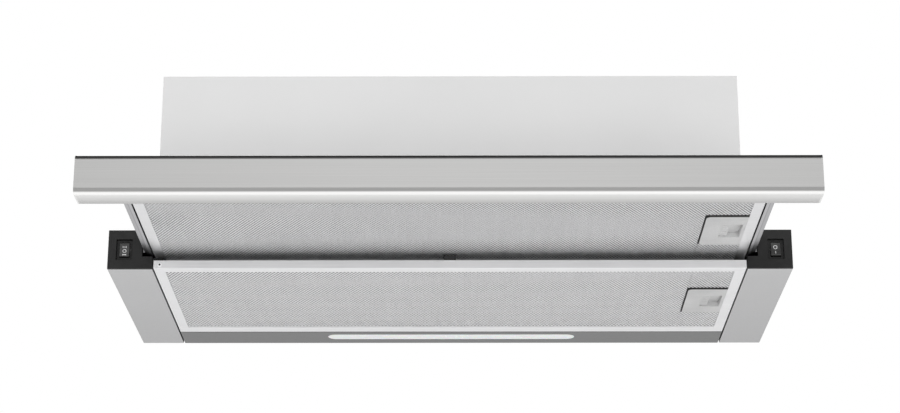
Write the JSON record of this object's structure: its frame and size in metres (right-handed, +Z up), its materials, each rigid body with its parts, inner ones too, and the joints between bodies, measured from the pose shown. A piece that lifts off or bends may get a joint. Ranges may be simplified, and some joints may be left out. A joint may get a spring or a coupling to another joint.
{
  "type": "pull out range hood",
  "caption": "Slim pull-out range hood: motor box with round outlet collar, sliding filter drawer with steel front bar, drop-down rear grease filter, rocker switches and long light window.",
  "frame": {"origin": "on the plane of the underside, in the middle of the width and of the whole depth with the drawer fully out", "axes": "+X to the right seen from the front, +Y from the front bar towards the wall, +Z up towards the outlet"},
  "size_m": [0.598, 0.4172, 0.223],
  "materials": {
    "box_paint": "light grey satin powder coat",
    "cover_paint": "silver grey satin paint",
    "panel_paint": "dark grey satin paint",
    "switch_box_plastic": "black, finely grained",
    "switch_plastic": "black",
    "rocker_plastic": "black, smooth, with pale marks",
    "tab_brass": "bright",
    "bar_steel": "brushed along the bar",
    "sheet_steel": "zinc plated",
    "small_steel": "bright zinc plated",
    "rail_aluminium": "satin",
    "filter_aluminium": "satin",
    "grease_mesh": "fine pleated mesh",
    "latch_plastic": "light grey",
    "lens_plastic": "milky white",
    "led_white": "white",
    "glide_nylon": "natural nylon",
    "pad_rubber": "black",
    "casing_plastic": "grey",
    "motor_paint": "dark grey",
    "stator_iron": "lacquered laminations and windings",
    "box_plastic": "light grey",
    "outlet_plastic": "dark grey, moulded"
  },
  "bodies": {
    "body": {"motor_box": "box_paint", "chassis_frame": "box_paint", "side_cover_left": "cover_paint", "side_cover_right": "cover_paint", "switch_box_left": "switch_box_plastic", "switch_box_right": "switch_box_plastic", "speed_switch_body": "switch_plastic", "light_switch_body": "switch_plastic", "switch_tabs": "tab_brass", "guide_rail_left": "sheet_steel", "guide_rail_right": "sheet_steel", "rear_panel": "panel_paint", "light_lens": "lens_plastic", "led_board": "led_white", "led_driver": "led_white", "hinge_lugs": "switch_plastic", "fan_casing_left": "casing_plastic", "fan_casing_right": "casing_plastic", "motor_bracket": "sheet_steel", "motor_can": "motor_paint", "motor_stator": "stator_iron", "capacitor": "box_plastic", "terminal_box": "box_plastic", "terminal_box_lid": "box_plastic", "cable_gland": "switch_plastic", "wiring_loom": "pad_rubber", "outlet_spigot": "outlet_plastic", "flap_pin": "small_steel", "drawer_switch": "switch_plastic", "body_screws": "small_steel"},
    "drawer": {"front_bar": "bar_steel", "bar_end_caps": "bar_steel", "bar_back_plate": "sheet_steel", "drawer_rail_left": "rail_aluminium", "drawer_rail_right": "rail_aluminium", "drawer_glides": "glide_nylon", "drawer_top_sheet": "box_paint", "drawer_rear_rail": "panel_paint", "drawer_screws": "small_steel", "front_filter_frame": "filter_aluminium", "front_filter_mesh": "filter_aluminium", "front_filter_core": "grease_mesh", "front_latch_plate": "latch_plastic", "front_latch_spring": "small_steel"},
    "front_latch": {"front_latch_slider": "latch_plastic"},
    "rear_filter": {"rear_filter_frame": "filter_aluminium", "rear_filter_mesh": "filter_aluminium", "rear_filter_core": "grease_mesh", "rear_latch_plate": "latch_plastic", "rear_latch_spring": "small_steel", "filter_hinge_pins": "small_steel", "glide_pad": "pad_rubber"},
    "rear_latch": {"rear_latch_slider": "latch_plastic"},
    "speed_rocker": {"speed_rocker": "rocker_plastic"},
    "light_rocker": {"light_rocker": "rocker_plastic"},
    "fan_rotor": {"impeller": "casing_plastic", "motor_rotor": "small_steel"},
    "flap_front": {"flap_front": "outlet_plastic"},
    "flap_rear": {"flap_rear": "outlet_plastic"},
    "switch_plunger": {"switch_plunger": "rocker_plastic"}
  },
  "joints": [
    {"name": "drawer_slide", "type": "slide", "parent": "body", "child": "drawer", "axis": [0, -1, 0], "range_m": [-0.155, 0]},
    {"name": "rear_filter_hinge", "type": "hinge", "parent": "body", "child": "rear_filter", "pos_m": [-0.2532, 0, 0.0038], "axis": [0, 1, 0], "range_deg": [0, 75]},
    {"name": "front_latch", "type": "slide", "parent": "drawer", "child": "front_latch", "axis": [-1, 0, 0], "range_m": [0, 0.005], "stiffness_N_per_m": 300, "springref_m": -0.008, "deforming": ["front_latch_spring"]},
    {"name": "rear_latch", "type": "slide", "parent": "rear_filter", "child": "rear_latch", "axis": [-1, 0, 0], "range_m": [0, 0.005], "stiffness_N_per_m": 300, "springref_m": -0.008, "deforming": ["rear_latch_spring"]},
    {"name": "speed_rocker", "type": "hinge", "parent": "body", "child": "speed_rocker", "pos_m": [-0.2847, -0.02415, 0.0179], "axis": [1, 0, 0], "range_deg": [-10, 10]},
    {"name": "light_rocker", "type": "hinge", "parent": "body", "child": "light_rocker", "pos_m": [0.2847, -0.02415, 0.0179], "axis": [1, 0, 0], "range_deg": [0, 20]},
    {"name": "impeller_spin", "type": "hinge", "parent": "body", "child": "fan_rotor", "pos_m": [0, 0.09065, 0.1062], "axis": [1, 0, 0], "continuous": true},
    {"name": "flap_front_hinge", "type": "hinge", "parent": "body", "child": "flap_front", "pos_m": [0, 0.13571, 0.196], "axis": [-1, 0, 0], "range_deg": [0, 75]},
    {"name": "flap_rear_hinge", "type": "hinge", "parent": "body", "child": "flap_rear", "pos_m": [0, 0.13571, 0.196], "axis": [1, 0, 0], "range_deg": [0, 75]},
    {"name": "switch_plunger", "type": "slide", "parent": "body", "child": "switch_plunger", "axis": [0, 1, 0], "range_m": [0, 0.0015], "stiffness_N_per_m": 200, "springref_m": -0.002}
  ]
}
